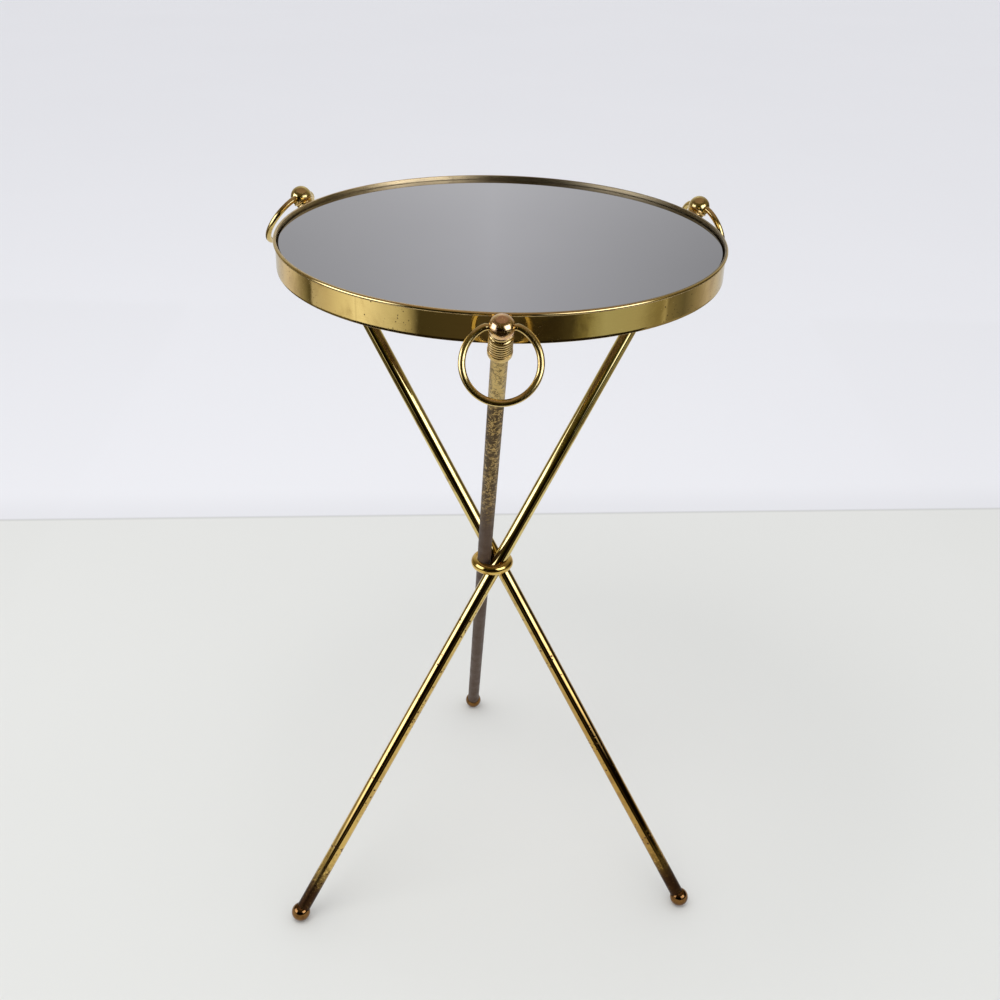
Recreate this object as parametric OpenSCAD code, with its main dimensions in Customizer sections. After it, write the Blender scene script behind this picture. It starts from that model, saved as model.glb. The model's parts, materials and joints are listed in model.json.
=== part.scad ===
// Round brass side table: three crossed tube legs carry a shallow gallery rim with a mirror top.
// Each leg ends in a finial ball with a swinging ring at the rim, and in a ball foot on the floor.
// The origin is on the table's vertical axis, at floor level. +Z is up. Leg 1's finial faces -Y.

/* [Table] */
// Height from the floor to the top of the rim's bead
table_h = 622; // [560:1:700]
// Outer diameter of the rim's bead
table_d = 350; // [340:1:360]

/* [Rim] */
// Height of the band, bead included
band_h = 22; // [20:0.5:26]
// Sheet thickness of the band
band_t = 0.8; // [0.8:0.1:1.2]
// Height of the rolled bead at the top of the band
bead_h = 2.8; // [2.6:0.1:4]
// How far the bead stands out past the band
bead_out = 1.6; // [1.4:0.1:1.8]

/* [Top] */
// Thickness of the mirror glass
glass_t = 5; // [4:0.5:6]
// Depth of the glass below the top of the bead
glass_drop = 3.4; // [2:0.1:3.5]
// Gap all round between the glass and the band
glass_gap = 1.3; // [0.8:0.1:2]
// Small chamfer round the edge of the glass
glass_arris = 0.5; // [0.3:0.1:1]
// Thickness of the board behind the glass
board_t = 3; // [2.5:0.5:3.5]
// Width of the ledge under the board
ledge_w = 12.7; // [10:0.1:20]
// Thickness of the ledge's angle section
ledge_t = 1.5; // [1:0.1:2]
// Height of the ledge's downturned flange
flange_h = 3; // [2.5:0.1:3.2]

/* [Legs] */
// Outer diameter of the leg tubes
tube_d = 12; // [12:0.1:12.1]
// Wall thickness of the leg tubes
tube_t = 1; // [0.8:0.1:1.5]
// Distance of the finial balls from the table's axis
finial_reach = 194; // [194:0.1:196]
// Distance of the ball feet from the table's axis
foot_reach = 205.8; // [200:0.1:215]
// Closest distance between a leg's centre line and the table's axis
leg_offset = 7.4; // [7.35:0.05:7.45]
// Depth of a finial ball's centre below the top of the bead
finial_drop = 2.2; // [2:0.1:3]

/* [Finials and feet] */
// Diameter of the finial balls
finial_d = 17.6; // [17:0.1:17.8]
// Diameter of the ball feet
foot_d = 17; // [16:0.1:20]
// Diameter of the flat that each foot stands on
foot_pad_d = 6; // [4:0.5:8]
// How deep a leg tube sits in its foot, measured from the ball's centre
foot_socket_z = 3.5; // [3:0.1:4.5]

/* [Collars] */
// Diameter of the collar's cup and ribs
collar_d = 16.9; // [16.7:0.1:17]
// Diameter of the plain band at the collar's lower end
collar_foot_d = 17.4; // [17:0.1:17.6]
// Number of ribs on the sleeve
rib_count = 6; // [4:1:8]
// Depth of the grooves between the ribs
rib_depth = 0.45; // [0.3:0.05:0.6]
// Radius of the neck at the bottom of the cove
neck_r = 7; // [6.9:0.1:7.4]

/* [Ring handles] */
// Diameter of the ring's wire
wire_d = 4.9; // [4.5:0.1:5]
// Radius of the ring's centre line
ring_r = 25.7; // [25:0.1:28]
// Diameter of the pins that turn in the finial ball
pin_d = 4.4; // [4:0.1:4.4]
// Running clearance on the radius between pin and ball
pin_play = 0.06; // [0.03:0.01:0.1]
// How far ring 1 leans outward from hanging straight down, held by friction at its pins
ring_lean_1 = 22; // [0:1:36]
// How far ring 2 leans outward
ring_lean_2 = 16; // [0:1:36]
// How far ring 3 leans outward
ring_lean_3 = 33; // [0:1:36]

/* [Crossing ring] */
// Outer diameter of the ring round the crossing
cross_d = 37.4; // [36:0.1:40]
// Height of the ring's full round section
cross_h = 10.8; // [9:0.1:12]
// Bore of the ring, which the three tubes just pass
cross_bore_d = 29.2; // [29.2:0.1:30]

/* [Fasteners] */
// Diameter of the rim screws
rim_screw_d = 2.9; // [2.8:0.1:2.9]
// Diameter of the rim screws' heads
screw_head_d = 5.4; // [5:0.1:5.6]
// Height of the rim screws' heads
screw_head_h = 1.6; // [1.2:0.1:2]
// Outer diameter of the rim screws' washers
washer_d = 6; // [5.8:0.1:6]
// Thickness of the rim screws' washers
washer_t = 0.5; // [0.4:0.1:0.6]
// Diameter of the threaded studs in the balls
stud_d = 4.9; // [4.5:0.1:4.9]
// Length of the plugs soldered into the tube ends
plug_len = 12; // [10:1:16]

/* [Hidden] */
$fn = 96;

BRASS = [0.80, 0.64, 0.30];
PALE_BRASS = [0.86, 0.74, 0.42];
DARK_BRASS = [0.38, 0.28, 0.16];
SMOKED_GLASS = [0.55, 0.55, 0.57];
BOARD_BROWN = [0.42, 0.29, 0.18];
STEEL = [0.62, 0.62, 0.60];

// Clearance between pieces that are soldered, screwed or pressed together
fit = 0.05;
// Number of legs, and the turn from each to the next
leg_count = 3;
leg_turn = 360 / leg_count;

// Rim and top
band_r = table_d / 2 - bead_out;
band_inner_r = band_r - band_t;
band_z = table_h - band_h;
glass_r = band_inner_r - glass_gap;
glass_top_z = table_h - glass_drop;
glass_z = glass_top_z - glass_t;
board_z = glass_z - board_t;
board_r = glass_r - 0.5;
ledge_z = board_z - ledge_t;
ledge_outer_r = band_inner_r - fit;
flange_z = ledge_z - flange_h;

// Heights and leg line: a leg runs from its finial ball to a foot on the far side of the axis.
// foot_swing turns the foot past the point opposite the ball, so that the leg clears the axis.
finial_z = table_h - finial_drop;
foot_z = sqrt(pow(foot_d / 2, 2) - pow(foot_pad_d / 2, 2));
foot_swing = asin(leg_offset * (finial_reach + foot_reach) / (finial_reach * foot_reach));
leg_fall = finial_z - foot_z;

function ring_lean(i) = [ring_lean_1, ring_lean_2, ring_lean_3][i - 1];
function finial_angle(i) = -90 + leg_turn * (i - 1);
function foot_angle(i) = finial_angle(i) + 180 + foot_swing;
function polar_point(r, a, z) = [r * cos(a), r * sin(a), z];
function finial_point(i) = polar_point(finial_reach, finial_angle(i), finial_z);
function foot_point(i) = polar_point(foot_reach, foot_angle(i), foot_z);
function leg_vector(i) = finial_point(i) - foot_point(i);
function leg_heading(i) = atan2(leg_vector(i).y, leg_vector(i).x);
function leg_point(i, z) = foot_point(i) + leg_vector(i) * (z - foot_z) / leg_fall;
function leg_reach(i, z) = norm([leg_point(i, z).x, leg_point(i, z).y]);

leg_len = norm(leg_vector(1));
leg_tilt = acos(leg_fall / leg_len);
leg_run = leg_len * sin(leg_tilt);

// Height where the legs pass closest to the axis
waist_share = (pow(finial_reach, 2) + finial_reach * foot_reach * cos(foot_swing)) / pow(leg_run, 2);
waist_z = finial_z - waist_share * leg_fall;

// Collar levels, all measured down the leg from the finial ball's centre
cup_lip = 3.4;
cove_top = 4.6;
cove_h = 4;
ribs_start = 9.2;
socket_end = 12;
ribs_end = 24.5;
collar_end = 29.3;
cove_mid = cove_top + cove_h / 2;
rib_pitch = (ribs_end - ribs_start) / rib_count;
rib_round = (pow(rib_pitch / 2, 2) + pow(rib_depth, 2)) / (2 * rib_depth);
cove_round = (pow(cove_h / 2, 2) + pow(collar_d / 2 - neck_r, 2)) / (2 * (collar_d / 2 - neck_r));
lip_round = 0.6;
foot_round = 1.2;

// Tube ends and studs, measured down the leg in the same way
tube_start = socket_end + fit;
tube_end = leg_len - foot_socket_z - fit;
tube_inner_d = tube_d - 2 * tube_t;
finial_stud_top = 3.4;
finial_stud_end = 20;
foot_stud_top = leg_len - 18;
foot_stud_end = leg_len + 3.5;

// Ring: straight pins run out to ring_elbow on each side, and the round wire starts there
ring_elbow = 11;
pin_start = 2;
ring_gap = 2 * asin(ring_elbow / ring_r);
ring_drop = sqrt(pow(ring_r, 2) - pow(ring_elbow, 2));

// Rim screws run outward through the band into each collar
screw_z = band_z + 3;
washer_face_r = band_inner_r - 0.1;
slot_w = 0.8;
slot_depth = 0.7;

// Children are placed with the finial ball's centre as origin and +Z up along the leg
module leg_frame(i) {
    translate(finial_point(i))
        rotate([0, leg_tilt, leg_heading(i)])
            children();
}

// Children are placed with +X pointing outward at leg i's bearing, at height z
module rim_frame(i, z) {
    spot = leg_point(i, z);
    rotate([0, 0, atan2(spot.y, spot.x)])
        translate([0, 0, z])
            children();
}

// A round bar along the leg, from one distance below the ball's centre to another
module leg_bar(d, from, to) {
    translate([0, 0, -to])
        cylinder(d = d, h = to - from);
}

// A round bar along +X
module x_bar(d, from, to) {
    translate([from, 0, 0])
        rotate([0, 90, 0])
            cylinder(d = d, h = to - from);
}

module rim_screw_holes(d) {
    for (i = [1:leg_count])
        rim_frame(i, screw_z)
            x_bar(d, band_inner_r - 3, band_r + 8);
}

module rim_band() {
    bead_r = bead_h / 2;
    color(BRASS)
        difference() {
            rotate_extrude($fn = 256)
                union() {
                    translate([band_inner_r, band_z])
                        square([band_t, band_h]);
                    translate([band_inner_r, table_h - bead_h])
                        square([table_d / 2 - bead_r - band_inner_r, bead_h]);
                    translate([table_d / 2 - bead_r, table_h - bead_r])
                        circle(r = bead_r);
                }
            rim_screw_holes(rim_screw_d + 0.3);
        }
}

module ledge_ring() {
    color(BRASS)
        rotate_extrude($fn = 256)
            union() {
                translate([ledge_outer_r - ledge_w, ledge_z])
                    square([ledge_w, ledge_t]);
                translate([ledge_outer_r - ledge_t, flange_z])
                    square([ledge_t, flange_h + ledge_t]);
            }
}

module backing_board() {
    color(BOARD_BROWN)
        translate([0, 0, board_z])
            cylinder(r = board_r, h = board_t, $fn = 256);
}

module mirror_top() {
    color(SMOKED_GLASS)
        translate([0, 0, glass_z])
            rotate_extrude($fn = 256)
                polygon([
                    [0, 0],
                    [glass_r - glass_arris, 0],
                    [glass_r, glass_arris],
                    [glass_r, glass_t - glass_arris],
                    [glass_r - glass_arris, glass_t],
                    [0, glass_t]
                ]);
}

module crossing_ring() {
    round_r = cross_h / 2;
    color(BRASS)
        translate([0, 0, waist_z])
            difference() {
                rotate_extrude($fn = 128)
                    translate([cross_d / 2 - round_r, 0])
                        circle(r = round_r);
                cylinder(d = cross_bore_d, h = 2 * cross_h, center = true);
            }
}

module leg_tube(i) {
    color(i == 1 ? DARK_BRASS : BRASS)
        leg_frame(i)
            difference() {
                leg_bar(tube_d, tube_start, tube_end);
                leg_bar(tube_inner_d, tube_start - 1, tube_end + 1);
            }
}

// Half section of the collar's outside, from the cup's lip down to the foot band
module collar_section() {
    rib_mid_r = collar_d / 2 - rib_round;
    difference() {
        union() {
            translate([0, -cove_top - cove_h])
                square([collar_d / 2, cove_top + cove_h - cup_lip - lip_round]);
            translate([0, -cup_lip - lip_round])
                square([collar_d / 2 - lip_round, lip_round]);
            translate([collar_d / 2 - lip_round, -cup_lip - lip_round])
                circle(r = lip_round);
            translate([0, -ribs_end])
                square([collar_d / 2 - rib_depth, ribs_end - cove_top - cove_h]);
            for (k = [0:rib_count - 1])
                intersection() {
                    translate([rib_mid_r, -ribs_start - (k + 0.5) * rib_pitch])
                        circle(r = rib_round);
                    translate([neck_r, -ribs_start - (k + 1) * rib_pitch])
                        square([collar_d, rib_pitch]);
                }
            translate([0, -collar_end + foot_round])
                square([collar_foot_d / 2, collar_end - ribs_end - foot_round]);
            translate([0, -collar_end])
                square([collar_foot_d / 2 - foot_round, foot_round]);
            translate([collar_foot_d / 2 - foot_round, -collar_end + foot_round])
                circle(r = foot_round);
        }
        translate([neck_r + cove_round, -cove_mid])
            circle(r = cove_round);
    }
}

// The collar cups the ball, takes the tube from below, and is relieved where it meets the band
module collar(i) {
    color(PALE_BRASS)
        difference() {
            leg_frame(i)
                difference() {
                    rotate_extrude()
                        collar_section();
                    sphere(d = finial_d + 2 * fit);
                    leg_bar(tube_d + 2 * fit, socket_end, collar_end + 1);
                    leg_bar(stud_d + 2 * fit, 0, collar_end);
                }
            translate([0, 0, band_z - fit])
                cylinder(r = band_r + 2 * fit, h = 2 * band_h, $fn = 256);
            rim_frame(i, screw_z)
                x_bar(rim_screw_d + 2 * fit, band_r - 2, leg_reach(i, screw_z));
        }
}

// The ball has a level cross hole for the ring's pins and a stud hole from below
module finial_ball(i) {
    color(BRASS)
        leg_frame(i)
            difference() {
                sphere(d = finial_d);
                rotate([90, 0, 0])
                    cylinder(d = pin_d + 2 * pin_play, h = 2 * finial_d, center = true);
                leg_bar(stud_d + 2 * fit, finial_stud_top - fit, finial_d);
            }
}

// A ring on two pins that are stiff in the ball, so it stays where it is put, leaning outward
module ring_handle(i) {
    color(BRASS)
        translate(finial_point(i))
            rotate([-ring_lean(i), 0, leg_heading(i) + 90])
                union() {
                    translate([0, 0, -ring_drop])
                        rotate([90, 0, 0])
                            rotate([0, 0, 90 + ring_gap / 2])
                                rotate_extrude(angle = 360 - ring_gap)
                                    translate([ring_r, 0])
                                        circle(d = wire_d);
                    for (side = [0, 180])
                        rotate([0, 0, side])
                            union() {
                                translate([ring_elbow, 0, 0])
                                    sphere(d = wire_d + 2 * fit);
                                x_bar(pin_d, pin_start, ring_elbow);
                            }
                }
}

// A ball with a socket for the tube, a deeper stud hole and a small flat to stand on
module ball_foot(i) {
    color(DARK_BRASS)
        difference() {
            translate(foot_point(i))
                sphere(d = foot_d);
            leg_frame(i)
                leg_bar(tube_d + 2 * fit, leg_len - foot_d, leg_len - foot_socket_z);
            leg_frame(i)
                leg_bar(stud_d + 2 * fit, leg_len - foot_d, foot_stud_end + fit);
            translate([0, 0, -foot_d])
                cylinder(r = foot_reach + foot_d, h = foot_d);
        }
}

module rim_screws() {
    head_r = washer_face_r - washer_t;
    color(STEEL)
        for (i = [1:leg_count])
            rim_frame(i, screw_z)
                difference() {
                    tube_half = (tube_d / 2 + rim_screw_d / 2 * sin(leg_tilt)) / cos(leg_tilt);
                    tip_r = leg_reach(i, screw_z) - tube_half - 2 * fit;
                    union() {
                        x_bar(rim_screw_d, head_r - screw_head_h / 2, tip_r);
                        x_bar(screw_head_d, head_r - screw_head_h, head_r);
                    }
                    translate([head_r - screw_head_h, 0, 0])
                        cube([2 * slot_depth, 2 * screw_head_d, slot_w], center = true);
                }
}

module rim_washers() {
    color(STEEL)
        for (i = [1:leg_count])
            rim_frame(i, screw_z)
                difference() {
                    x_bar(washer_d, washer_face_r - washer_t, washer_face_r);
                    x_bar(rim_screw_d + 0.3, washer_face_r - washer_t - 1, washer_face_r + 1);
                }
}

module finial_studs() {
    color(STEEL)
        for (i = [1:leg_count])
            leg_frame(i)
                leg_bar(stud_d, finial_stud_top, finial_stud_end);
}

module foot_studs() {
    color(STEEL)
        for (i = [1:leg_count])
            leg_frame(i)
                leg_bar(stud_d, foot_stud_top, foot_stud_end);
}

// Drilled plugs close both ends of each tube and take the studs
module tube_plugs() {
    color(PALE_BRASS)
        for (i = [1:leg_count], from = [tube_start, tube_end - plug_len])
            leg_frame(i)
                difference() {
                    leg_bar(tube_inner_d - 2 * fit, from, from + plug_len);
                    leg_bar(stud_d + 2 * fit, from - 1, from + plug_len + 1);
                }
}

rim_band();
ledge_ring();
backing_board();
mirror_top();
crossing_ring();
leg_tube(1);  // leg_tube_1
leg_tube(2);  // leg_tube_2
leg_tube(3);  // leg_tube_3
collar(1);  // collar_1
collar(2);  // collar_2
collar(3);  // collar_3
finial_ball(1);  // finial_ball_1
finial_ball(2);  // finial_ball_2
finial_ball(3);  // finial_ball_3
ring_handle(1);  // ring_handle_1
ring_handle(2);  // ring_handle_2
ring_handle(3);  // ring_handle_3
ball_foot(1);  // ball_foot_1
ball_foot(2);  // ball_foot_2
ball_foot(3);  // ball_foot_3
rim_screws();
rim_washers();
finial_studs();
foot_studs();
tube_plugs();
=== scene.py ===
"""Looks for the brass side table.

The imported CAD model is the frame. Every visible brass, glass and board piece is rebuilt here as a smooth
mesh of the same size in the same place, with a procedural material. Lengths are in metres; the MM factor
turns the millimetre sizes of the design into metres.
"""
import json
import math

import bmesh
import bpy
from mathutils import Matrix, Vector, noise


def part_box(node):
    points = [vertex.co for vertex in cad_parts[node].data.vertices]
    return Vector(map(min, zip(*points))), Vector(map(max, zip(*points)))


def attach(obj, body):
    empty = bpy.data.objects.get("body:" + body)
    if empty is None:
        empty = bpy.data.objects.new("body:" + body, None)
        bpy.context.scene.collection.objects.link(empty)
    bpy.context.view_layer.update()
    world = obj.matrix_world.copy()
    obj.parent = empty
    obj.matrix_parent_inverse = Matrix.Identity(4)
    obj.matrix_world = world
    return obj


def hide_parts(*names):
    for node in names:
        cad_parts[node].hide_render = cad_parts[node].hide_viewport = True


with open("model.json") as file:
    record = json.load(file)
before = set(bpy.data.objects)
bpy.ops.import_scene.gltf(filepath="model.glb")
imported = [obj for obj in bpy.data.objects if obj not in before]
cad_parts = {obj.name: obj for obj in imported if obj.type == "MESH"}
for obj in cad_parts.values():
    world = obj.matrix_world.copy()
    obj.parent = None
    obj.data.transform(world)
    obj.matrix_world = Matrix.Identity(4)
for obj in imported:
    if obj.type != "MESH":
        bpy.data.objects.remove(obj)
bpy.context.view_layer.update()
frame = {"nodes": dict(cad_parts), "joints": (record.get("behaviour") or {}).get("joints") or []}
MM = 0.001
LEGS = (1, 2, 3)

# ---------------------------------------------------------------- sizes taken from the frame

band_low, band_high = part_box("rim_band")
glass_low, glass_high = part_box("mirror_top")
board_low, board_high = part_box("backing_board")
ledge_low, ledge_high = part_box("ledge_ring")
cross_low, cross_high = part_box("crossing_ring")

RIM_TOP = band_high.z
RIM_BOTTOM = band_low.z
RIM_R = band_high.x
BEAD_R = 1.4 * MM
BEAD_OUT = 1.6 * MM
BAND_R = RIM_R - BEAD_OUT
BAND_T = 0.8 * MM
BAND_INNER_R = BAND_R - BAND_T
LEDGE_W = 12.7 * MM
LEDGE_T = 1.5 * MM
CROSS_HALF = 5.4 * MM
CROSS_BORE_R = 14.6 * MM
GLASS_R = glass_high.x
BOARD_R = board_high.x

BALL_R = 8.8 * MM
FOOT_R = 8.5 * MM
FOOT_PAD_R = 3.0 * MM
TUBE_R = 6.0 * MM
TUBE_T = 1.0 * MM
COLLAR_R = 8.45 * MM
COLLAR_FOOT_R = 8.7 * MM
WIRE_R = 2.45 * MM
PIN_R = 2.2 * MM
RING_R = 25.7 * MM
RING_ELBOW = 11.0 * MM
RING_LEANS = {1: math.radians(22), 2: math.radians(16), 3: math.radians(33)}
PIN_START = 2.0 * MM
HOLE_R = 2.26 * MM
FIT = 0.05 * MM

# Distances down a leg from the finial ball's centre
CUP_LIP = 3.4 * MM
COVE_TOP = 4.6 * MM
COVE_HEIGHT = 4.0 * MM
RIBS_START = 9.2 * MM
SOCKET_END = 12.0 * MM
RIBS_END = 24.5 * MM
COLLAR_END = 29.3 * MM
RIB_COUNT = 6
RIB_DEPTH = 0.45 * MM
NECK_R = 7.0 * MM
FOOT_SOCKET = 3.5 * MM


def joint(name):
    """The record of one joint as the frame gives it: its name, place and axis."""
    return next(j for j in frame["joints"] if j["name"] == name)


def ball_centre(leg):
    return Vector(joint(f"ring_swing_{leg}")["pos_m"])


def swing_axis(leg):
    return Vector(joint(f"ring_swing_{leg}")["axis"]).normalized()


def foot_centre(leg):
    low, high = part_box(f"ball_foot_{leg}")
    return Vector(((low.x + high.x) / 2, (low.y + high.y) / 2, math.sqrt(FOOT_R**2 - FOOT_PAD_R**2)))


def leg_length(leg):
    return (ball_centre(leg) - foot_centre(leg)).length


def axes_matrix(origin, x_axis, z_axis):
    y_axis = z_axis.cross(x_axis)
    matrix = Matrix((x_axis, y_axis, z_axis)).transposed().to_4x4()
    matrix.translation = origin
    return matrix


def leg_matrix(leg):
    """Origin at the finial ball's centre, +Z up along the leg, +Y level along the ring's pins."""
    up = (ball_centre(leg) - foot_centre(leg)).normalized()
    pins = -swing_axis(leg)
    return axes_matrix(ball_centre(leg), pins.cross(up), up)


def ring_matrix(leg):
    """Origin at the finial ball's centre, +X along the ring's pins, -Z down the ring, which leans outward."""
    lean = Matrix.Rotation(RING_LEANS[leg], 3, swing_axis(leg))
    return axes_matrix(ball_centre(leg), -swing_axis(leg), lean @ Vector((0, 0, 1)))


# ---------------------------------------------------------------- meshes

SHARP_ANGLE = math.radians(38)


def arc(centre_r, centre_z, radius, start, end, steps):
    """Points of a circular arc in an (r, z) section; the angles are in degrees from +r towards +z."""
    points = []
    for k in range(steps + 1):
        a = math.radians(start + (end - start) * k / steps)
        points.append((centre_r + radius * math.cos(a), centre_z + radius * math.sin(a)))
    return points


def finish_mesh(name, bm, matrix, own_axes=False):
    """Makes the object in its place.

    own_axes keeps the mesh in its own axes, for a material that follows them.
    """
    bmesh.ops.recalc_face_normals(bm, faces=bm.faces)
    mesh = bpy.data.meshes.new(name)
    bm.to_mesh(mesh)
    bm.free()
    if not own_axes:
        mesh.transform(matrix)
    for face in mesh.polygons:
        face.use_smooth = True
    mesh.set_sharp_from_angle(angle=SHARP_ANGLE)
    obj = bpy.data.objects.new(name, mesh)
    bpy.context.scene.collection.objects.link(obj)
    if own_axes:
        obj.matrix_world = matrix
    return obj


def even_angles(count):
    return [2 * math.pi * k / count for k in range(count)]


def lathe(name, section, angles, matrix=Matrix.Identity(4), closed=True, shape=None, own_axes=False):
    """Revolves an (r, z) section about local Z. closed joins the section's last point to its first.

    A point on the axis becomes one pole. shape(x, y, z) may move each vertex a little.
    """
    bm = bmesh.new()
    columns = []
    poles = {}
    for a in angles:
        column = []
        for k, (r, z) in enumerate(section):
            if r < 1e-7:
                if k not in poles:
                    poles[k] = bm.verts.new((0, 0, z))
                column.append(poles[k])
                continue
            point = (r * math.cos(a), r * math.sin(a), z)
            column.append(bm.verts.new(shape(*point) if shape else point))
        columns.append(column)
    steps = len(section) if closed else len(section) - 1
    for k, column in enumerate(columns):
        other = columns[(k + 1) % len(columns)]
        for j in range(steps):
            i = (j + 1) % len(section)
            corners = []
            for vert in (column[j], other[j], other[i], column[i]):
                if vert not in corners:
                    corners.append(vert)
            if len(corners) > 2:
                bm.faces.new(corners)
    return finish_mesh(name, bm, matrix, own_axes)


def wire(name, centres, radii, sides, matrix):
    """A round wire along a path in the local XZ plane, with closed ends."""
    bm = bmesh.new()
    rings = []
    for k, centre in enumerate(centres):
        before = centres[max(k - 1, 0)]
        after = centres[min(k + 1, len(centres) - 1)]
        along = (after - before).normalized()
        across = Vector((0, 1, 0))
        outward = along.cross(across)
        ring = []
        for j in range(sides):
            a = 2 * math.pi * j / sides
            ring.append(bm.verts.new(centre + radii[k] * (math.cos(a) * outward + math.sin(a) * across)))
        rings.append(ring)
    for first, second in zip(rings, rings[1:]):
        for j in range(sides):
            i = (j + 1) % sides
            bm.faces.new((first[j], first[i], second[i], second[j]))
    bm.faces.new(rings[0])
    bm.faces.new(rings[-1])
    return finish_mesh(name, bm, matrix)


def place(obj, body, node, material):
    """Gives a piece its first material and the body it rides on, and hides the CAD node it replaces."""
    obj.data.materials.append(material)
    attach(obj, body)
    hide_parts(node)
    return obj


# ---------------------------------------------------------------- shader helpers


class Shader:
    """One node tree, with short calls that add a node and return the socket that matters."""

    def __init__(self, tree):
        self.tree = tree

    def add(self, kind, inputs=None, **settings):
        node = self.tree.nodes.new(kind)
        for key, value in settings.items():
            setattr(node, key, value)
        for key, value in (inputs or {}).items():
            self.set(node.inputs[key], value)
        return node

    def set(self, socket, value):
        if isinstance(value, bpy.types.NodeSocket):
            self.tree.links.new(value, socket)
        else:
            socket.default_value = value

    def local(self, scale=(1, 1, 1)):
        coords = self.add("ShaderNodeTexCoord").outputs["Object"]
        return self.add("ShaderNodeMapping", {"Vector": coords, "Scale": scale}).outputs["Vector"]

    def noise(self, where, scale, detail=3.0, rough=0.5, twist=0.0):
        values = {"Vector": where, "Scale": scale, "Detail": detail, "Roughness": rough, "Distortion": twist}
        return self.add("ShaderNodeTexNoise", values).outputs["Fac"]

    def cells(self, where, scale):
        return self.add("ShaderNodeTexVoronoi", {"Vector": where, "Scale": scale}).outputs["Distance"]

    def stretch(self, value, low, high, to_low=0.0, to_high=1.0):
        values = {"Value": value, "From Min": low, "From Max": high, "To Min": to_low, "To Max": to_high}
        return self.add("ShaderNodeMapRange", values, interpolation_type="SMOOTHSTEP").outputs["Result"]

    def maths(self, operation, a, b=0.5):
        return self.add("ShaderNodeMath", {0: a, 1: b}, operation=operation).outputs[0]

    def blend(self, share, first, second):
        node = self.add("ShaderNodeMix", data_type="RGBA")
        self.set(node.inputs[0], share)
        self.set(node.inputs[6], first)
        self.set(node.inputs[7], second)
        return node.outputs[2]

    def bump(self, height, distance, normal=None):
        values = {"Height": height, "Distance": distance, "Strength": 1.0}
        if normal is not None:
            values["Normal"] = normal
        return self.add("ShaderNodeBump", values).outputs["Normal"]

    def parts(self, vector):
        return self.add("ShaderNodeSeparateXYZ", {"Vector": vector}).outputs


def rgb(r, g, b):
    return (r, g, b, 1.0)


def principled(name):
    material = bpy.data.materials.new(name)
    material.use_nodes = True
    shader = Shader(material.node_tree)
    return material, shader, material.node_tree.nodes["Principled BSDF"]


RUB_HEIGHT = 0.0015 * MM


def brass(name, clean, tarnish, speck, gloss, grain, clouds, cover, specks, waves):
    """Polished brass: tarnish in soft clouds, fine dark specks in patches, rub marks and slight waves.

    gloss is the roughness of clean and of tarnished metal, grain the scale of the rub marks along X, Y and Z.
    clouds is the scale of the tarnish and cover how far it spreads. specks is how dark the specks are.
    waves is the height of the surface's slow waves, in millimetres.
    """
    material, tree, bsdf = principled(name)
    where = tree.local()
    cloud = tree.noise(where, clouds, 5.0, 0.62, 0.4)
    tarnished = tree.stretch(cloud, 0.62 - 0.3 * cover, 0.78 - 0.16 * cover)
    rubs = tree.noise(tree.local(grain), 1.0, 3.0, 0.6)
    patch = tree.stretch(tree.noise(where, 28.0, 3.0), 0.5, 0.66)
    dots = tree.stretch(tree.cells(where, 420.0), 0.12, 0.24, 1.0, 0.0)
    big_dots = tree.stretch(tree.cells(where, 120.0), 0.045, 0.085, 1.0, 0.0)
    all_dots = tree.maths("MAXIMUM", tree.maths("MULTIPLY", dots, patch), big_dots)
    specked = tree.maths("MULTIPLY", all_dots, specks)
    tone = tree.blend(tarnished, clean, tarnish)
    worn = tree.blend(tree.stretch(rubs, 0.55, 0.8, 0.0, 0.35), tone, tarnish)
    tree.set(bsdf.inputs["Base Color"], tree.blend(specked, worn, speck))
    bsdf.inputs["Metallic"].default_value = 1.0
    wear = tree.maths("ADD", tree.maths("MULTIPLY", tarnished, 0.6), tree.maths("MULTIPLY", rubs, 0.4))
    rough = tree.stretch(wear, 0.1, 0.9, gloss[0], gloss[1])
    tree.set(bsdf.inputs["Roughness"], tree.maths("ADD", rough, tree.maths("MULTIPLY", specked, 0.25)))
    wavy = tree.bump(tree.noise(where, 60.0, 2.0), waves * MM)
    fine = tree.bump(rubs, RUB_HEIGHT, normal=wavy)
    tree.set(bsdf.inputs["Normal"], tree.bump(tree.maths("SUBTRACT", 1.0, specked), 0.02 * MM, normal=fine))
    return material


# ---------------------------------------------------------------- materials

ROUND_RUBS = (60, 60, 1400)
LENGTH_RUBS = (900, 900, 25)
EVEN_RUBS = (300, 300, 300)

rim_brass = brass(
    "rim_brass", rgb(0.80, 0.60, 0.23), rgb(0.60, 0.42, 0.15), rgb(0.20, 0.13, 0.05),
    (0.05, 0.14), ROUND_RUBS, clouds=22, cover=0.4, specks=0.8, waves=0.09,
)
collar_brass = brass(
    "collar_brass", rgb(0.70, 0.50, 0.19), rgb(0.50, 0.33, 0.12), rgb(0.24, 0.15, 0.06),
    (0.18, 0.30), EVEN_RUBS, clouds=120, cover=0.5, specks=0.5, waves=0.02,
)
finial_brass = brass(
    "finial_brass", rgb(0.84, 0.57, 0.25), rgb(0.72, 0.42, 0.25), rgb(0.32, 0.18, 0.10),
    (0.16, 0.24), EVEN_RUBS, clouds=90, cover=0.7, specks=0.5, waves=0.02,
)
side_finial_brass = brass(
    "side_finial_brass", rgb(0.70, 0.54, 0.20), rgb(0.47, 0.34, 0.12), rgb(0.26, 0.16, 0.06),
    (0.12, 0.24), EVEN_RUBS, clouds=110, cover=0.6, specks=0.6, waves=0.03,
)
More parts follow.
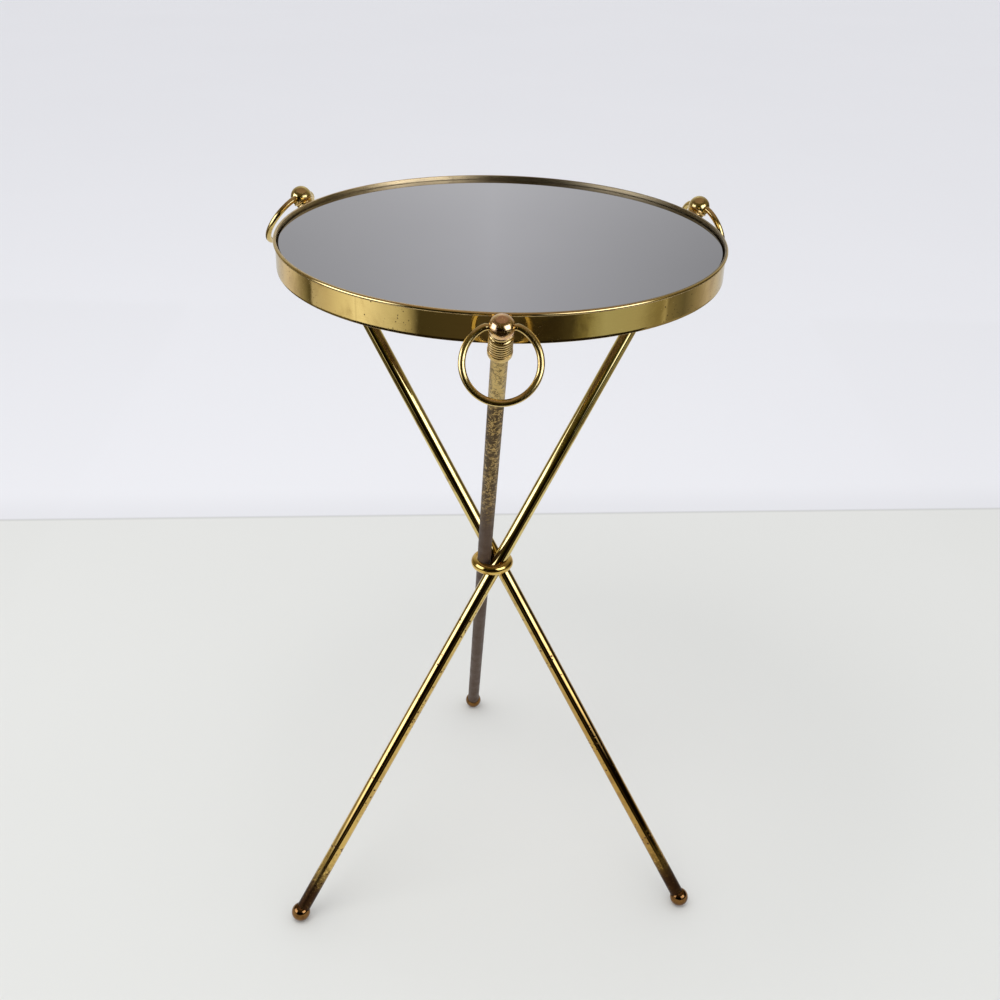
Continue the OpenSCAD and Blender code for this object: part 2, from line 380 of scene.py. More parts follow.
handle_brass = brass(
    "handle_brass", rgb(0.70, 0.52, 0.19), rgb(0.42, 0.28, 0.095), rgb(0.18, 0.11, 0.04),
    (0.14, 0.26), EVEN_RUBS, clouds=70, cover=0.55, specks=0.6, waves=0.03,
)
crossing_brass = brass(
    "crossing_brass", rgb(0.74, 0.50, 0.13), rgb(0.50, 0.31, 0.08), rgb(0.20, 0.11, 0.04),
    (0.08, 0.18), EVEN_RUBS, clouds=110, cover=0.5, specks=0.5, waves=0.02,
)
foot_brass = brass(
    "foot_brass", rgb(0.24, 0.12, 0.035), rgb(0.11, 0.048, 0.014), rgb(0.05, 0.025, 0.010),
    (0.06, 0.18), EVEN_RUBS, clouds=130, cover=0.6, specks=0.6, waves=0.03,
)
ledge_brass = brass(
    "ledge_brass", rgb(0.60, 0.46, 0.22), rgb(0.36, 0.25, 0.12), rgb(0.16, 0.11, 0.06),
    (0.28, 0.45), ROUND_RUBS, clouds=50, cover=0.7, specks=0.6, waves=0.04,
)
plug_brass = brass(
    "plug_brass", rgb(0.78, 0.62, 0.30), rgb(0.56, 0.40, 0.18), rgb(0.30, 0.20, 0.10),
    (0.20, 0.32), EVEN_RUBS, clouds=120, cover=0.4, specks=0.3, waves=0.02,
)


def polished_leg(name, upper_metal, lower_metal, tarnish):
    """Brass tube: bright above, more orange and speckled with oxide below, brown with gold specks at the end.

    Local z is the distance along the leg from the finial ball, downwards negative.
    """
    material, tree, bsdf = principled(name)
    where = tree.local()
    along = tree.parts(where)[2]
    low = tree.stretch(along, -0.56, -0.28, 1.0, 0.0)
    end = tree.stretch(along, -0.708, -0.655, 1.0, 0.0)
    streaks = tree.noise(tree.local(LENGTH_RUBS), 1.0, 3.0, 0.6)
    clouds = tree.stretch(tree.noise(where, 70.0, 4.0, 0.6, 0.5), 0.42, 0.72)
    metal = tree.blend(low, upper_metal, lower_metal)
    tone = tree.blend(tree.maths("MULTIPLY", clouds, 0.6), metal, tarnish)
    patches = tree.stretch(tree.noise(where, 42.0, 3.0, 0.6), 0.46, 0.58)
    spots = tree.stretch(tree.cells(where, 300.0), 0.22, 0.38, 1.0, 0.0)
    lower_more = tree.stretch(low, 0.0, 0.6, 0.25, 1.0)
    oxide = tree.maths("MULTIPLY", tree.maths("MULTIPLY", spots, patches), lower_more)
    flakes = tree.stretch(tree.noise(where, 420.0, 4.0, 0.65, 0.8), 0.46, 0.60, 1.0, 0.0)
    crust = tree.maths("MULTIPLY", end, tree.stretch(tree.maths("ADD", end, flakes), 0.6, 1.1, 0.0, 1.0))
    spotted = tree.blend(oxide, tone, rgb(0.10, 0.045, 0.015))
    tree.set(bsdf.inputs["Base Color"], tree.blend(crust, spotted, rgb(0.045, 0.020, 0.008)))
    bsdf.inputs["Metallic"].default_value = 1.0
    tree.set(bsdf.inputs["Coat Weight"], tree.stretch(crust, 0.0, 0.5, 0.35, 0.0))
    bsdf.inputs["Coat Roughness"].default_value = 0.03
    rough = tree.stretch(streaks, 0.3, 0.8, 0.02, 0.07)
    dull = tree.maths("MULTIPLY", tree.maths("MAXIMUM", oxide, crust), 0.3)
    tree.set(bsdf.inputs["Roughness"], tree.maths("ADD", rough, dull))
    wavy = tree.bump(tree.noise(where, 45.0, 2.0), 0.03 * MM)
    tree.set(bsdf.inputs["Normal"], tree.bump(tree.maths("SUBTRACT", 1.0, oxide), 0.02 * MM, normal=wavy))
    return material


def patina_leg():
    """The front leg: worn gold with dark curls under the collar, brown with gold curls, then plain brown."""
    material, tree, bsdf = principled("aged_leg_brass")
    where = tree.local()
    along = tree.parts(where)[2]
    gold = rgb(0.64, 0.46, 0.17)
    pale_gold = rgb(0.51, 0.34, 0.11)
    brown = rgb(0.072, 0.044, 0.029)
    ink = rgb(0.12, 0.075, 0.028)
    swirl = tree.noise(where, 240.0, 1.5, 0.5, 1.2)
    curls = tree.stretch(tree.maths("ABSOLUTE", tree.maths("SUBTRACT", swirl, 0.5)), 0.030, 0.070, 1.0, 0.0)
    breaks = tree.stretch(tree.noise(where, 190.0, 2.0), 0.40, 0.48)
    strokes = tree.maths("MULTIPLY", curls, breaks)
    grain = tree.noise(where, 90.0, 4.0, 0.6)
    top = tree.stretch(along, -0.092, -0.072)
    flecked = tree.stretch(along, -0.300, -0.190)
    worn = tree.blend(tree.maths("MULTIPLY", strokes, 0.8), gold, ink)
    mottled = tree.blend(grain, rgb(0.055, 0.034, 0.014), rgb(0.105, 0.068, 0.027))
    plain = tree.blend(grain, brown, rgb(0.105, 0.070, 0.050))
    ground = tree.blend(flecked, plain, mottled)
    bright = tree.maths("MULTIPLY", strokes, tree.stretch(flecked, 0.0, 1.0, 0.0, 0.95))
    tree.set(bsdf.inputs["Base Color"], tree.blend(top, tree.blend(bright, ground, pale_gold), worn))
    tree.set(bsdf.inputs["Metallic"], tree.stretch(tree.maths("MAXIMUM", top, bright), 0.0, 1.0, 0.0, 1.0))
    bsdf.inputs["Specular IOR Level"].default_value = 0.05
    tree.set(bsdf.inputs["Roughness"], tree.stretch(grain, 0.3, 0.7, 0.46, 0.32))
    tree.set(bsdf.inputs["Normal"], tree.bump(strokes, 0.05 * MM))
    return material


def satin_lip():
    """The flat top and inner wall of the rim: brushed, never polished, and painted darker on the right-hand
    half.

    That darker half is painted shade, standing in for the darker reflection on that side. The photograph is
    darker there. Whether that is tarnish or a reflection can't be told from it.
    """
    material, tree, bsdf = principled("lip_brass")
    where = tree.local()
    cloud = tree.stretch(tree.noise(where, 30.0, 5.0, 0.62, 0.4), 0.40, 0.70)
    # Painted shade: the right-hand half is darkened, standing in for a darker reflection on that side.
    right_shade_mask = tree.stretch(tree.parts(where)[0], -0.03, 0.03, 0.0, 0.85)
    rubs = tree.noise(tree.local(ROUND_RUBS), 1.0, 3.0, 0.6)
    pits = tree.stretch(tree.cells(where, 380.0), 0.10, 0.22, 0.6, 0.0)
    tone = tree.blend(cloud, rgb(0.71, 0.54, 0.26), rgb(0.54, 0.41, 0.20))
    right_shaded_tone = tree.blend(right_shade_mask, tone, rgb(0.24, 0.19, 0.10))
    tree.set(bsdf.inputs["Base Color"], tree.blend(pits, right_shaded_tone, rgb(0.12, 0.08, 0.035)))
    bsdf.inputs["Metallic"].default_value = 1.0
    tree.set(bsdf.inputs["Roughness"], tree.stretch(rubs, 0.3, 0.8, 0.34, 0.46))
    tree.set(bsdf.inputs["Normal"], tree.bump(rubs, 0.003 * MM))
    return material


def smoked_mirror():
    """Grey mirror glass: a tinted mirror under a clear face, with faint wiping marks and a little dust."""
    material, tree, bsdf = principled("smoked_mirror")
    where = tree.local()
    grey_blend = tree.noise(where, 7.0, 3.0, 0.5)
    tree.set(bsdf.inputs["Base Color"], tree.blend(grey_blend, rgb(0.288, 0.286, 0.304), rgb(0.325, 0.323, 0.340)))
    bsdf.inputs["Metallic"].default_value = 1.0
    wiped = tree.noise(tree.local((14, 90, 10)), 1.0, 3.0, 0.6, 0.6)
    grains = tree.stretch(tree.cells(where, 60.0), 0.018, 0.03, 1.0, 0.0)
    dust = tree.maths("MULTIPLY", grains, tree.stretch(tree.noise(where, 12.0), 0.52, 0.6))
    smears = tree.stretch(wiped, 0.35, 0.75, 0.02, 0.045)
    tree.set(bsdf.inputs["Roughness"], tree.maths("ADD", smears, tree.maths("MULTIPLY", dust, 0.3)))
    bsdf.inputs["Coat Weight"].default_value = 0.6
    bsdf.inputs["Coat Roughness"].default_value = 0.02
    return material


def glass_edge():
    """The ground edge and painted back of the mirror glass."""
    material, tree, bsdf = principled("glass_edge")
    grain = tree.noise(tree.local(), 150.0, 3.0)
    tree.set(bsdf.inputs["Base Color"], tree.blend(grain, rgb(0.010, 0.011, 0.012), rgb(0.030, 0.032, 0.033)))
    bsdf.inputs["Roughness"].default_value = 0.45
    return material


def hardboard():
    """Brown hardboard with short pressed fibres."""
    material, tree, bsdf = principled("hardboard")
    fibres = tree.noise(tree.local((900, 260, 400)), 1.0, 4.0, 0.65, 0.8)
    blotch = tree.noise(tree.local(), 18.0, 3.0)
    tone = tree.blend(fibres, rgb(0.080, 0.046, 0.026), rgb(0.200, 0.125, 0.070))
    stained = tree.stretch(blotch, 0.4, 0.7, 0.0, 0.5)
    tree.set(bsdf.inputs["Base Color"], tree.blend(stained, tone, rgb(0.12, 0.072, 0.04)))
    tree.set(bsdf.inputs["Roughness"], tree.stretch(fibres, 0.2, 0.8, 0.55, 0.85))
    tree.set(bsdf.inputs["Normal"], tree.bump(fibres, 0.08 * MM))
    return material


def zinc_steel():
    """Dull zinc-plated steel for the screws, washers and studs."""
    material, tree, bsdf = principled("zinc_steel")
    grain = tree.noise(tree.local(), 900.0, 3.0)
    tree.set(bsdf.inputs["Base Color"], tree.blend(grain, rgb(0.42, 0.42, 0.40), rgb(0.60, 0.60, 0.57)))
    bsdf.inputs["Metallic"].default_value = 1.0
    tree.set(bsdf.inputs["Roughness"], tree.stretch(grain, 0.2, 0.8, 0.28, 0.45))
    return material


right_leg_brass = polished_leg(
    "right_leg_brass", rgb(0.76, 0.60, 0.21), rgb(0.72, 0.48, 0.13), rgb(0.46, 0.29, 0.08),
)
# The left leg's lower metal and tarnish are darker than the right leg's: partly more tarnish, partly painted
# shade for the shaded floor it mirrors.
left_leg_brass = polished_leg(
    "left_leg_brass", rgb(0.74, 0.58, 0.20), rgb(0.52, 0.31, 0.065), rgb(0.28, 0.14, 0.03),
)
aged_leg_brass = patina_leg()
lip_brass = satin_lip()
mirror_face = smoked_mirror()
mirror_edge = glass_edge()
board_brown = hardboard()
fastener_steel = zinc_steel()

# ---------------------------------------------------------------- rim, top and board

SEAM_ANGLE = math.radians(-125.0)
SEAM_HALF = 0.35 * MM / BAND_R
BAND_SEGMENTS = 480


def band_angles():
    """Even steps round the band, with a few narrow ones where its butt joint lies."""
    step = 2 * math.pi / BAND_SEGMENTS
    even = [a for a in even_angles(BAND_SEGMENTS)
            if abs((a - SEAM_ANGLE + math.pi) % (2 * math.pi) - math.pi) > 0.6 * step]
    seam = [(SEAM_ANGLE + k * SEAM_HALF) % (2 * math.pi) for k in (-2, -1, 0, 1, 2)]
    return sorted(even + seam)


def sheet_waves(x, y, z):
    """Sheet metal is never quite round: slow dents a few hundredths deep, and a groove at the joint."""
    dent = 0.05 * MM * (noise.noise(Vector((x, y, 0.4 * z)) * 26.0) - 1.0) / 2.0
    dent += 0.02 * MM * (noise.noise(Vector((x, y, z)) * 90.0) - 1.0) / 2.0
    turn = (math.atan2(y, x) - SEAM_ANGLE + math.pi) % (2 * math.pi) - math.pi
    if abs(turn) < 1.5 * SEAM_HALF:
        dent -= 0.10 * MM if abs(turn) < 0.5 * SEAM_HALF else 0.03 * MM
    radius = math.hypot(x, y)
    factor = (radius + dent) / radius
    return (x * factor, y * factor, z)


def band_section():
    """Section of the band and its bead, from the inner bottom edge outwards and round."""
    edge = 0.35 * MM
    bead_mid_r = RIM_R - BEAD_R
    bead_mid_z = RIM_TOP - BEAD_R
    bead_start = -math.degrees(math.acos((BAND_R - bead_mid_r) / BEAD_R))
    section = arc(BAND_INNER_R + edge, RIM_BOTTOM + edge, edge, 180, 270, 4)
    section += arc(BAND_R - edge, RIM_BOTTOM + edge, edge, 270, 360, 5)
    wall_low = RIM_BOTTOM + edge
    wall_high = bead_mid_z + BEAD_R * math.sin(math.radians(bead_start))
    for k in range(1, 10):
        section.append((BAND_R, wall_low + (wall_high - wall_low) * k / 10))
    section += arc(bead_mid_r, bead_mid_z, BEAD_R, bead_start, 90, 24)
    section += arc(BAND_INNER_R + edge, RIM_TOP - edge, edge, 90, 180, 5)
    for k in range(1, 6):
        section.append((BAND_INNER_R, RIM_TOP - edge - (RIM_TOP - RIM_BOTTOM - 2 * edge) * k / 6))
    return section


def disc_section(radius, low, high, chamfer):
    """Section of a flat disc with chamfered edges, from its top centre round to its bottom centre."""
    return [
        (0, high), (radius * 0.6, high), (radius - chamfer, high), (radius, high - chamfer),
        (radius, low + chamfer), (radius - chamfer, low), (radius * 0.6, low), (0, low),
    ]


def ledge_section():
    """Section of the L-shaped ledge: a level shelf and a short flange turned down against the band."""
    outer = ledge_high.x
    inner = outer - LEDGE_W
    under = ledge_high.z - LEDGE_T
    bend = 0.5 * MM
    section = [(inner, ledge_high.z), (inner, under), (outer - LEDGE_T - bend, under)]
    section += arc(outer - LEDGE_T - bend, under - bend, bend, 90, 0, 4)[1:]
    section += [(outer - LEDGE_T, ledge_low.z), (outer, ledge_low.z)]
    section += arc(outer - bend, ledge_high.z - bend, bend, 0, 90, 4)
    return section


def add_rim_band():
    """The band is polished outside, satin on top and inside, and dull on the edge that faces the floor."""
    band = lathe("rim_band_polished", band_section(), band_angles(), shape=sheet_waves)
    place(band, "frame", "rim_band", rim_brass)
    band.data.materials.append(lip_brass)
    band.data.materials.append(ledge_brass)
    for face in band.data.polygons:
        outward = Vector((face.center.x, face.center.y, 0)).normalized()
        if face.normal.z < -0.15:
            face.material_index = 2
        elif face.normal.dot(outward) < 0.3:
            face.material_index = 1


def add_mirror_glass():
    section = disc_section(GLASS_R, glass_low.z, glass_high.z, 0.5 * MM)
    glass = lathe("mirror_glass", section, even_angles(360), closed=False)
    place(glass, "mirror_top", "mirror_top", mirror_face)
    glass.data.materials.append(mirror_edge)
    for face in glass.data.polygons:
        face.material_index = 0 if face.normal.z > 0.9 else 1


def add_backing_board():
    section = disc_section(BOARD_R, board_low.z, board_high.z, 0.3 * MM)
    board = lathe("backing_hardboard", section, even_angles(240), closed=False)
    place(board, "frame", "backing_board", board_brown)


def add_ledge():
    ledge = lathe("ledge_angle", ledge_section(), even_angles(320))
    place(ledge, "frame", "ledge_ring", ledge_brass)


add_rim_band()
add_mirror_glass()
add_backing_board()
add_ledge()

# ---------------------------------------------------------------- crossing ring


def crossing_section():
    """A full round section, cut off where the ring's bore passes through it."""
    middle = (cross_low.z + cross_high.z) / 2
    centre_r = cross_high.x - CROSS_HALF
    open_angle = math.degrees(math.acos((CROSS_BORE_R - centre_r) / CROSS_HALF))
    return arc(centre_r, middle, CROSS_HALF, -open_angle, open_angle, 40)


def add_crossing_ring():
    crossing = lathe("crossing_ring_polished", crossing_section(), even_angles(192))
    place(crossing, "frame", "crossing_ring", crossing_brass)


add_crossing_ring()

# ---------------------------------------------------------------- legs, collars, balls and feet


def tube_section(length):
    """Closed section of a leg tube, down its outside and back up its bore; local z is along the leg."""
    start = SOCKET_END + FIT
    end = length - FOOT_SOCKET - FIT
    steps = 60
    outer = [(TUBE_R, -start - (end - start) * k / steps) for k in range(steps + 1)]
    inner = [(TUBE_R - TUBE_T, -end + (end - start) * k / 4) for k in range(5)]
    return outer + inner


def collar_section():
    """Closed section of the collar: bore, foot band, ribs, cove, lip and cup, upwards outside."""
    bore = TUBE_R + FIT
    stud = 2.5 * MM
    cup_r = BALL_R + FIT
    pitch = (RIBS_END - RIBS_START) / RIB_COUNT
    rib_r = ((pitch / 2) ** 2 + RIB_DEPTH**2) / (2 * RIB_DEPTH)
    rib_half = math.degrees(math.asin(pitch / 2 / rib_r))
    cove_r = ((COVE_HEIGHT / 2) ** 2 + (COLLAR_R - NECK_R) ** 2) / (2 * (COLLAR_R - NECK_R))
    cove_open = math.degrees(math.acos((NECK_R + cove_r - COLLAR_R) / cove_r))
    lip = 0.6 * MM
    foot = 1.2 * MM
    shoulder = 0.4 * MM
    section = [(bore, -SOCKET_END), (bore, -COLLAR_END)]
    section += arc(COLLAR_FOOT_R - foot, -COLLAR_END + foot, foot, -90, 0, 8)
    section += arc(COLLAR_FOOT_R - shoulder, -RIBS_END - shoulder, shoulder, 0, 90, 4)
    for k in reversed(range(RIB_COUNT)):
        middle = -RIBS_START - (k + 0.5) * pitch
        section += arc(COLLAR_R - rib_r, middle, rib_r, -rib_half, rib_half, 8)
    section += arc(NECK_R + cove_r, -COVE_TOP - COVE_HEIGHT / 2, cove_r, 180 + cove_open, 180 - cove_open, 16)
    lip_mid_r = COLLAR_R - lip
    lip_mid_z = CUP_LIP + lip
    reach = math.hypot(lip_mid_r, lip_mid_z)
    turn = math.acos((cup_r**2 - reach**2 - lip**2) / (2 * reach * lip))
    lip_end = math.degrees(turn - math.atan2(lip_mid_z, lip_mid_r))
    section += arc(lip_mid_r, -lip_mid_z, lip, 0, lip_end, 6)
    cup_start = math.degrees(math.asin(-section[-1][1] / cup_r)) + 2
    cup_end = math.degrees(math.acos(stud / cup_r))
    section += arc(0, 0, cup_r, -cup_start, -cup_end, 14)
    section += [(stud, -SOCKET_END)]
    return section


def relieve_at_band(obj):
    """Cuts the collar back to the band's face: vertices that would enter the band move out to it."""
    clear_r = BAND_R + 0.1 * MM
    for vert in obj.data.vertices:
        reach = math.hypot(vert.co.x, vert.co.y)
        if reach < clear_r and vert.co.z > RIM_BOTTOM - 0.05 * MM:
            vert.co.x *= clear_r / reach
            vert.co.y *= clear_r / reach


def ball_section():
    """A ball with a through hole along local Z, its mouths slightly chamfered."""
    chamfer = 0.15 * MM
    mouth = math.degrees(math.acos((HOLE_R + chamfer) / BALL_R))
    outside = arc(0, 0, BALL_R, -mouth, mouth, 64)
    depth = BALL_R * math.sin(math.radians(mouth)) - chamfer
    return outside + [(HOLE_R, depth), (HOLE_R, -depth)]


def foot_section(length):
    """A ball round the leg's lower end, with a socket for the tube; local z is along the leg."""
    bore = TUBE_R + FIT
    lip = 0.25 * MM
    mouth = math.degrees(math.acos((bore + lip) / FOOT_R))
    outside = [(r, z - length) for r, z in arc(0, 0, FOOT_R, -90, mouth, 56)]
    outside[0] = (0, outside[0][1])
    top = FOOT_R * math.sin(math.radians(mouth))
    return outside + [(bore, top - length), (bore, FOOT_SOCKET - length), (0, FOOT_SOCKET - length)]


def stand_flat(obj):
    """Flattens what would reach below the floor into the foot's small resting face."""
    for vert in obj.data.vertices:
        vert.co.z = max(vert.co.z, 0)


def ring_path():
    """Centre line of a ring handle in its local XZ plane: pin, elbow, round wire, elbow, pin."""
    drop = math.sqrt(RING_R**2 - RING_ELBOW**2)
    elbow_from = RING_ELBOW - 1.2 * MM
    arc_start = math.acos((RING_ELBOW + 2.0 * MM) / RING_R)
    half = [Vector((PIN_START + (elbow_from - PIN_START) * k / 4, 0, 0)) for k in range(4)]
    first = Vector((elbow_from, 0, 0))
    middle = Vector((RING_ELBOW, 0, 0))
    last = Vector((RING_R * math.cos(arc_start), 0, RING_R * math.sin(arc_start) - drop))
    for k in range(8):
        t = k / 8
        half.append((1 - t) ** 2 * first + 2 * t * (1 - t) * middle + t * t * last)
    steps = 90
    round_wire = []
    for k in range(steps + 1):
        a = arc_start + (math.pi - 2 * arc_start - 2 * math.pi) * k / steps
        round_wire.append(Vector((RING_R * math.cos(a), 0, RING_R * math.sin(a) - drop)))
    other = [Vector((-p.x, 0, p.z)) for p in reversed(half)]
    return half + round_wire + other


def ring_radii(path):
    """The wire is a little thinner where it runs in the ball's hole."""
    pin_end = RING_ELBOW - 1.0 * MM
    return [PIN_R if abs(p.x) < pin_end and p.z > -1.0 * MM else WIRE_R for p in path]


TUBE_METALS = {1: aged_leg_brass, 2: right_leg_brass, 3: left_leg_brass}


def add_tube(leg):
    section = tube_section(leg_length(leg))
    tube = lathe(f"leg_tube_{leg}_polished", section, even_angles(72), leg_matrix(leg), own_axes=True)
    place(tube, "frame", f"leg_tube_{leg}", TUBE_METALS[leg])


def add_collar(leg):
    collar = lathe(f"collar_{leg}_turned", collar_section(), even_angles(96), leg_matrix(leg))
    relieve_at_band(collar)
    place(collar, "frame", f"collar_{leg}", collar_brass)


def add_ball(leg):
    """The ball's through hole lies along the ring's pins."""
    up = leg_matrix(leg).to_3x3().col[2]
    matrix = axes_matrix(ball_centre(leg), up, -swing_axis(leg))
    ball = lathe(f"finial_ball_{leg}_drilled", ball_section(), even_angles(96), matrix)
    metal = finial_brass if leg == 1 else side_finial_brass
    place(ball, "frame", f"finial_ball_{leg}", metal)


def add_foot(leg):
    section = foot_section(leg_length(leg))
    foot = lathe(f"ball_foot_{leg}_turned", section, even_angles(96), leg_matrix(leg), closed=False)
    stand_flat(foot)
    place(foot, "frame", f"ball_foot_{leg}", foot_brass)


def add_ring_handle(leg):
    path = ring_path()
    ring = wire(f"ring_handle_{leg}_bent", path, ring_radii(path), 40, ring_matrix(leg))
    place(ring, f"ring_handle_{leg}", f"ring_handle_{leg}", handle_brass)


def paint_fasteners():
    """The hidden screws, washers, studs and plugs keep their CAD meshes and only get a material."""
    metals = {
        "rim_screws": fastener_steel, "rim_washers": fastener_steel, "finial_studs": fastener_steel,
        "foot_studs": fastener_steel, "tube_plugs": plug_brass,
    }
    for node, metal in metals.items():
        for slot in frame["nodes"][node].material_slots:
            slot.material = metal


for leg in LEGS:
    add_tube(leg)
    add_collar(leg)
    add_ball(leg)
    add_foot(leg)
    add_ring_handle(leg)
paint_fasteners()

# ---------------------------------------------------------------- studio

TENT_R = 1.6
TENT_TOP = 2.4
FLOOR_HALF = 12.0
CARD_HALF = 1.7
CARD_BACK = 1.5
CARD_Z = 0.003
TABLE_FRONT = -0.42
PALE_WALL = (0.865, 0.865, 0.885)


def ray_flags(obj, diffuse=False, glossy=False):
    """Hides a piece of the studio from everything but the rays that are named."""
    obj.visible_camera = False
    obj.visible_diffuse = diffuse
    obj.visible_glossy = glossy
    obj.visible_shadow = False
    obj.visible_transmission = False
    obj.visible_volume_scatter = False


def floor_material():
    """A pale studio floor, a cooler backdrop past a slanting line, and a soft grey crease of painted shade
    where they meet.

    past is the distance beyond that line. The floor is painted brighter behind the table's middle and to its
    right, a painted pool of light that lifts the shadow under the table.
    The line, the crease and the bright place follow the photograph's own background.
    """
    material, tree, bsdf = principled("pale_floor")
    where = tree.local()
    x, y, _ = tree.parts(where)
    past = tree.maths("SUBTRACT", tree.maths("SUBTRACT", y, tree.maths("MULTIPLY", x, 0.067)), 0.652)
    tone = tree.noise(where, 1.6, 2.0)
    centre = {0: where, 1: (0.10, 0.12, 0)}
    light_pool_distance = tree.add("ShaderNodeVectorMath", centre, operation="DISTANCE").outputs["Value"]
    ground = tree.blend(tone, rgb(0.765, 0.772, 0.742), rgb(0.790, 0.797, 0.767))
    # Painted light: the floor is brighter in a soft disc round (0.10, 0.12), lifting the table's shadow.
    ground = tree.blend(tree.stretch(light_pool_distance, 0.05, 0.34, 0.8, 0.0), ground, rgb(0.890, 0.895, 0.860))
    backdrop = tree.blend(tone, rgb(0.850, 0.855, 0.880), rgb(0.870, 0.875, 0.900))
    # Painted shade: just past the line the backdrop greys a little, as in a shaded corner.
    grey_blend = tree.blend(tree.stretch(past, 0.0, 0.09, 0.12, 0.0), backdrop, rgb(0.40, 0.40, 0.42))
    # Painted shade: a thin grey line along the crease, where floor and backdrop meet.
    crease = tree.stretch(tree.maths("ABSOLUTE", past), 0.001, 0.005, 0.30, 0.0)
    whole = tree.blend(tree.stretch(past, 0.0, 0.002), ground, grey_blend)
    tree.set(bsdf.inputs["Base Color"], tree.blend(crease, whole, rgb(0.40, 0.40, 0.40)))
    bsdf.inputs["Roughness"].default_value = 0.75
    bsdf.inputs["Specular IOR Level"].default_value = 0.15
    return material


def glow(name, paint):
    """An emission material; paint(tree) returns its colour socket."""
    material = bpy.data.materials.new(name)
    material.use_nodes = True
    material.node_tree.nodes.clear()
    tree = Shader(material.node_tree)
    emission = tree.add("ShaderNodeEmission")
    tree.set(emission.inputs["Color"], paint(tree))
    out = tree.add("ShaderNodeOutputMaterial")
    tree.set(out.inputs["Surface"], emission.outputs[0])
    material.cycles.emission_sampling = "NONE"
    return material


def bearing_ramp(tree, bearing, stops):
    """Colours round the tent by bearing: 0 degrees faces the camera side, +90 is the right-hand side."""
    ramp = tree.add("ShaderNodeValToRGB", {"Fac": bearing})
    elements = ramp.color_ramp.elements
    while len(elements) < len(stops):
        elements.new(0.5)
    for element, (degrees, colour) in zip(elements, stops):
        element.position = 0.5 + degrees / 360
        element.color = (*colour, 1.0)
    return ramp.outputs["Color"]


